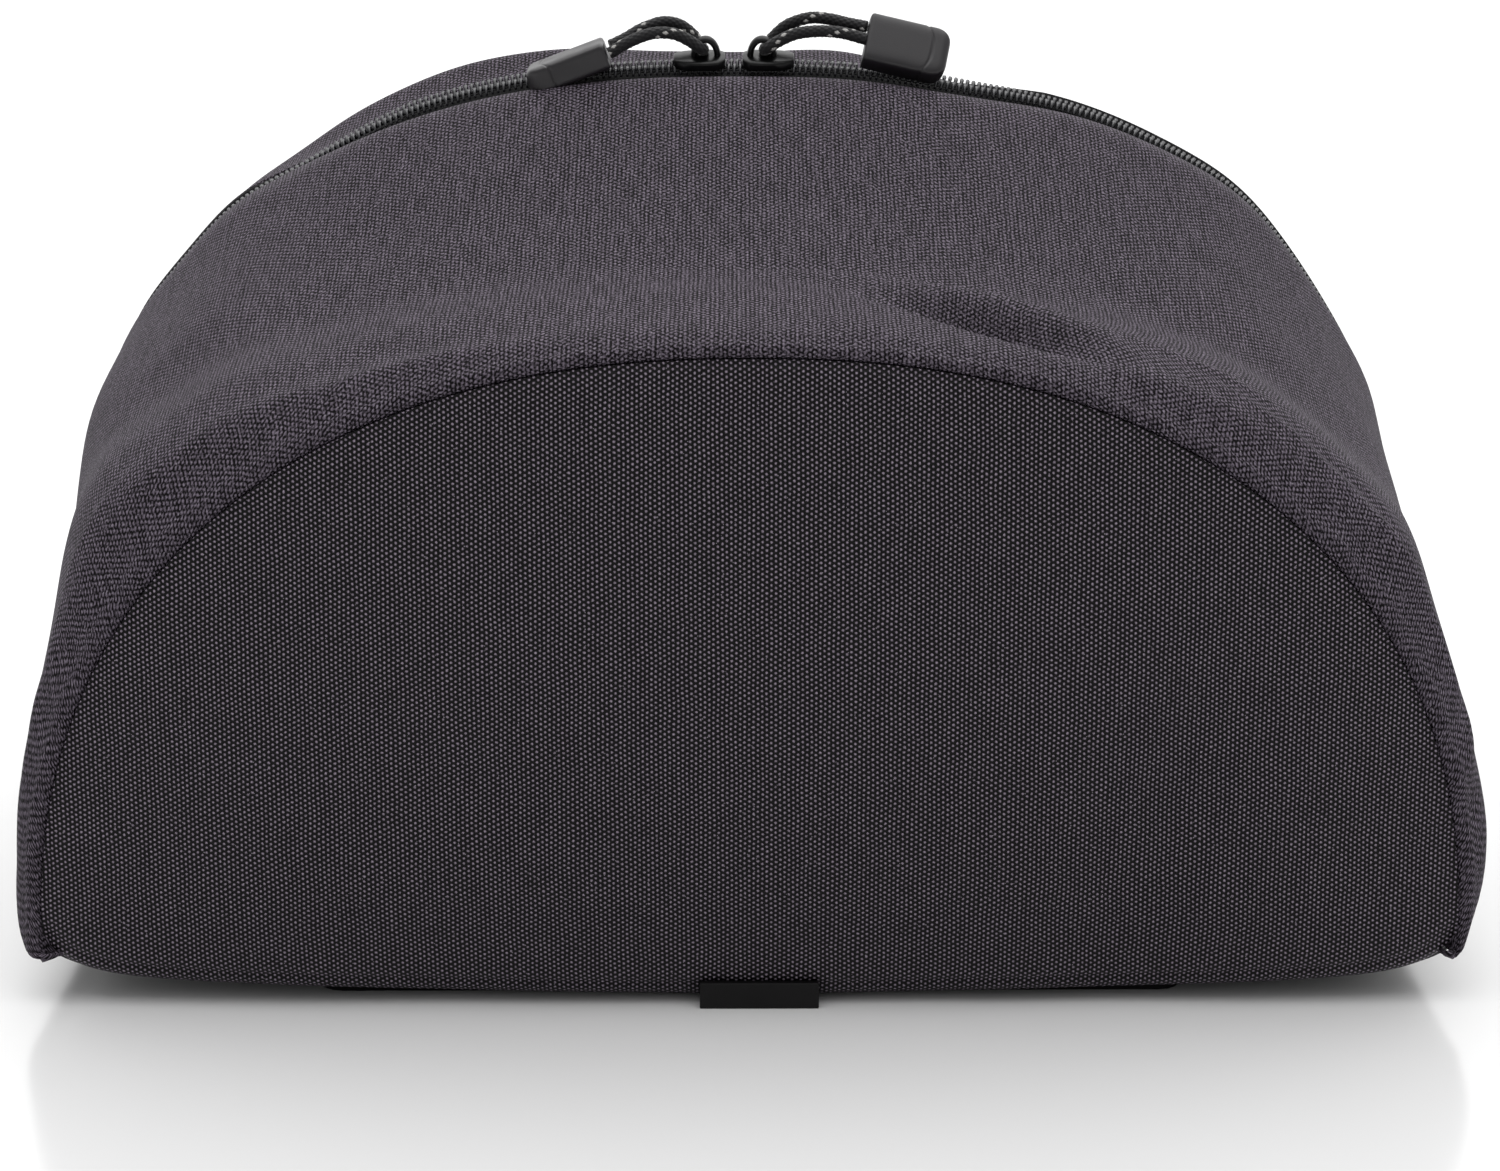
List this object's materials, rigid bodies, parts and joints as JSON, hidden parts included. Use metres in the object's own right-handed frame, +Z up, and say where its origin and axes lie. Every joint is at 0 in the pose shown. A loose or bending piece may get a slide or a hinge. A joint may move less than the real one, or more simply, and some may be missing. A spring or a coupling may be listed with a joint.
{
  "type": "bicycle rack bag",
  "caption": "Dome-shaped soft bag for a bicycle rack, with half-round end panels, a zipper over its ridge with cord pulls, and a flat adapter plate.",
  "frame": {"origin": "underside of the base plate, below the middle of the bag", "axes": "+X along the bag's length, -Y out of the front panel, +Z up"},
  "size_m": [0.3471, 0.2472, 0.2199],
  "materials": {
    "panel_nylon": "coarse plain-woven black nylon, polyurethane-backed",
    "gusset_nylon": "plain-woven black nylon over thin foam",
    "floor_nylon": "coated black nylon over a stiff board",
    "zipper_tape": "fine twill zipper tape, black",
    "coil_nylon": "moulded black nylon monofilament",
    "slider_enamel": "gloss black enamel on die-cast zinc",
    "cord_braid": "black polyester braid with grey flecks",
    "pull_plastic": "satin moulded black thermoplastic rubber",
    "plate_plastic": "satin moulded black polypropylene"
  },
  "bodies": {
    "root": {"front_panel": "panel_nylon", "rear_panel": "panel_nylon", "front_gusset": "gusset_nylon", "rear_gusset": "gusset_nylon", "floor_panel": "floor_nylon", "zipper_tape_front": "zipper_tape", "zipper_tape_rear": "zipper_tape", "end_strip_left": "zipper_tape", "end_strip_right": "zipper_tape", "zipper_coil": "coil_nylon", "slider_left": "slider_enamel", "slider_right": "slider_enamel", "cord_left": "cord_braid", "cord_right": "cord_braid", "pull_left": "pull_plastic", "pull_right": "pull_plastic", "base_plate": "plate_plastic", "plate_tab": "plate_plastic"}
  },
  "joints": []
}
